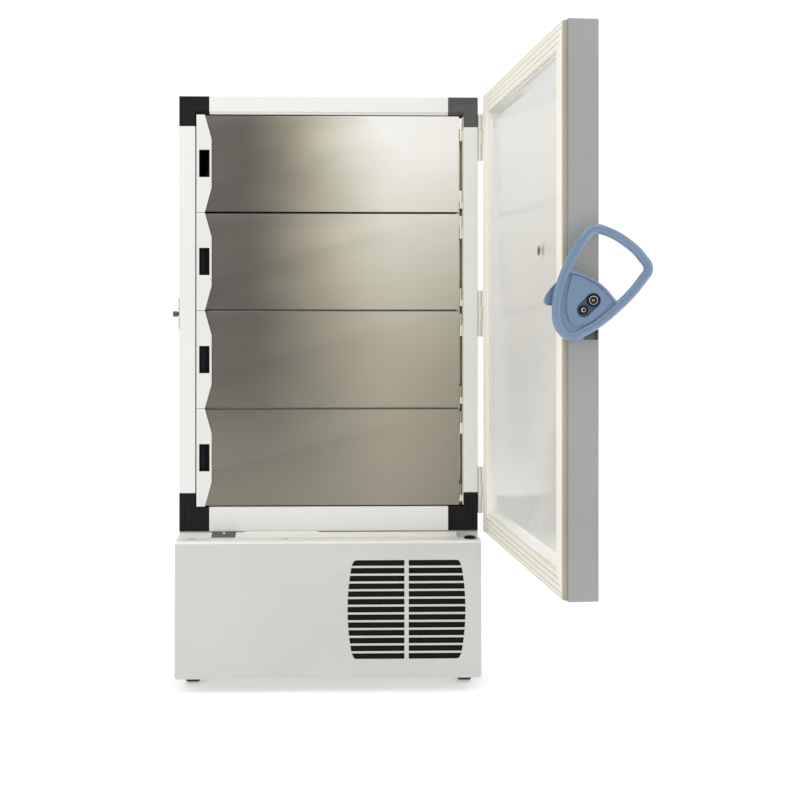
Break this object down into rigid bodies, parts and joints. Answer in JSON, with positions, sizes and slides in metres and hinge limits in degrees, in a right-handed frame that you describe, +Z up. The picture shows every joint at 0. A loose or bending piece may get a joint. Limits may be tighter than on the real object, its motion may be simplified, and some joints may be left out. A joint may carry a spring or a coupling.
{
  "type": "upright laboratory freezer",
  "caption": "Upright ultra-low-temperature laboratory freezer with its thick outer door open, closed inner doors, loop handle and grilled machine base on casters.",
  "frame": {"origin": "on the floor, under the middle of the machine base's footprint", "axes": "+X to the hinge side as seen from the front, +Y to the back, +Z up; the front faces -Y"},
  "size_m": [1.3582, 1.9047, 1.9873],
  "materials": {
    "white_paint": "satin",
    "grey_paint": "satin",
    "strip_plastic": "satin",
    "black_plastic": "matte",
    "blue_plastic": "satin",
    "gloss_panel": "gloss",
    "stainless": "brushed",
    "plain_steel": "satin",
    "foam": "matte",
    "gasket": "matte",
    "compressor_black": "satin",
    "aluminium_fins": "satin",
    "filter_mesh": "matte",
    "rubber": "matte"
  },
  "bodies": {
    "cabinet": {"cabinet_shell": "white_paint", "cabinet_insulation": "foam", "inner_liner": "stainless", "breaker_top": "strip_plastic", "breaker_bottom": "strip_plastic", "breaker_left": "strip_plastic", "breaker_right": "strip_plastic", "corner_top_left": "black_plastic", "corner_top_right": "black_plastic", "corner_bottom_left": "black_plastic", "corner_bottom_right": "black_plastic", "shelf_1": "stainless", "shelf_2": "stainless", "shelf_3": "stainless", "inner_hinge_rail": "strip_plastic", "latch_strike": "plain_steel", "base_chassis": "white_paint", "base_sill": "white_paint", "cover_pivot_cap": "black_plastic", "compressor_high_stage": "compressor_black", "compressor_low_stage": "compressor_black", "condenser": "aluminium_fins", "electronics_box": "plain_steel", "hinge_cabinet_leaf_1": "white_paint", "hinge_cabinet_leaf_2": "white_paint", "hinge_cabinet_leaf_3": "white_paint"},
    "outer_door": {"door_skin": "grey_paint", "door_core": "foam", "door_panel": "gloss_panel", "door_gasket": "gasket", "control_panel": "black_plastic", "handle_bracket": "plain_steel", "hinge_door_leaf_1": "white_paint", "hinge_door_leaf_2": "white_paint", "hinge_door_leaf_3": "white_paint"},
    "handle": {"handle": "blue_plastic"},
    "lock": {"lock_cylinder": "plain_steel"},
    "cover": {"base_cover": "white_paint", "air_filter": "filter_mesh"},
    "fan": {"condenser_fan": "black_plastic"},
    "inner_door_1": {"inner_door_1": "stainless", "inner_door_cap_1": "strip_plastic", "inner_door_pull_1": "black_plastic"},
    "inner_door_2": {"inner_door_2": "stainless", "inner_door_cap_2": "strip_plastic", "inner_door_pull_2": "black_plastic"},
    "inner_door_3": {"inner_door_3": "stainless", "inner_door_cap_3": "strip_plastic", "inner_door_pull_3": "black_plastic"},
    "inner_door_4": {"inner_door_4": "stainless", "inner_door_cap_4": "strip_plastic", "inner_door_pull_4": "black_plastic"},
    "caster_front_left": {"caster_fork_front_left": "plain_steel"},
    "wheel_front_left": {"caster_wheel_front_left": "rubber"},
    "caster_front_right": {"caster_fork_front_right": "plain_steel"},
    "wheel_front_right": {"caster_wheel_front_right": "rubber"},
    "caster_rear_left": {"caster_fork_rear_left": "plain_steel"},
    "wheel_rear_left": {"caster_wheel_rear_left": "rubber"},
    "caster_rear_right": {"caster_fork_rear_right": "plain_steel"},
    "wheel_rear_right": {"caster_wheel_rear_right": "rubber"}
  },
  "joints": [
    {"name": "outer_door_hinge", "type": "hinge", "parent": "cabinet", "child": "outer_door", "pos_m": [0.5125, -0.365, 1.248], "axis": [0, 0, 1], "range_deg": [-95, 40]},
    {"name": "handle_turn", "type": "hinge", "parent": "outer_door", "child": "handle", "pos_m": [0.67322, -1.37132, 1.2723], "axis": [0.0872, -0.9962, 0], "range_deg": [0, 27]},
    {"name": "lock_turn", "type": "hinge", "parent": "handle", "child": "lock", "pos_m": [0.67322, -1.37132, 1.2723], "axis": [0.0872, -0.9962, 0], "range_deg": [0, 90]},
    {"name": "inner_door_1_hinge", "type": "hinge", "parent": "cabinet", "child": "inner_door_1", "pos_m": [0.447, -0.3645, 1.75412], "axis": [0, 0, 1], "range_deg": [0, 90]},
    {"name": "inner_door_2_hinge", "type": "hinge", "parent": "cabinet", "child": "inner_door_2", "pos_m": [0.447, -0.3645, 1.42338], "axis": [0, 0, 1], "range_deg": [0, 90]},
    {"name": "inner_door_3_hinge", "type": "hinge", "parent": "cabinet", "child": "inner_door_3", "pos_m": [0.447, -0.3645, 1.09262], "axis": [0, 0, 1], "range_deg": [0, 90]},
    {"name": "inner_door_4_hinge", "type": "hinge", "parent": "cabinet", "child": "inner_door_4", "pos_m": [0.447, -0.3645, 0.76188], "axis": [0, 0, 1], "range_deg": [0, 90]},
    {"name": "cover_hinge", "type": "hinge", "parent": "cabinet", "child": "cover", "pos_m": [0.471, -0.43, 0.3], "axis": [0, 0, 1], "range_deg": [0, 100]},
    {"name": "fan_spin", "type": "hinge", "parent": "cabinet", "child": "fan", "pos_m": [0.2325, -0.372, 0.2693], "axis": [0, 1, 0], "continuous": true},
    {"name": "caster_front_left_swivel", "type": "hinge", "parent": "cabinet", "child": "caster_front_left", "pos_m": [-0.4605, -0.312, 0.1], "axis": [0, 0, 1], "continuous": true},
    {"name": "caster_front_left_roll", "type": "hinge", "parent": "caster_front_left", "child": "wheel_front_left", "pos_m": [-0.4605, -0.34, 0.0375], "axis": [1, 0, 0], "continuous": true},
    {"name": "caster_front_right_swivel", "type": "hinge", "parent": "cabinet", "child": "caster_front_right", "pos_m": [0.4605, -0.312, 0.1], "axis": [0, 0, 1], "continuous": true},
    {"name": "caster_front_right_roll", "type": "hinge", "parent": "caster_front_right", "child": "wheel_front_right", "pos_m": [0.4605, -0.34, 0.0375], "axis": [1, 0, 0], "continuous": true},
    {"name": "caster_rear_left_swivel", "type": "hinge", "parent": "cabinet", "child": "caster_rear_left", "pos_m": [-0.4605, 0.388, 0.1], "axis": [0, 0, 1], "continuous": true},
    {"name": "caster_rear_left_roll", "type": "hinge", "parent": "caster_rear_left", "child": "wheel_rear_left", "pos_m": [-0.4605, 0.36, 0.0375], "axis": [1, 0, 0], "continuous": true},
    {"name": "caster_rear_right_swivel", "type": "hinge", "parent": "cabinet", "child": "caster_rear_right", "pos_m": [0.4605, 0.388, 0.1], "axis": [0, 0, 1], "continuous": true},
    {"name": "caster_rear_right_roll", "type": "hinge", "parent": "caster_rear_right", "child": "wheel_rear_right", "pos_m": [0.4605, 0.36, 0.0375], "axis": [1, 0, 0], "continuous": true}
  ]
}
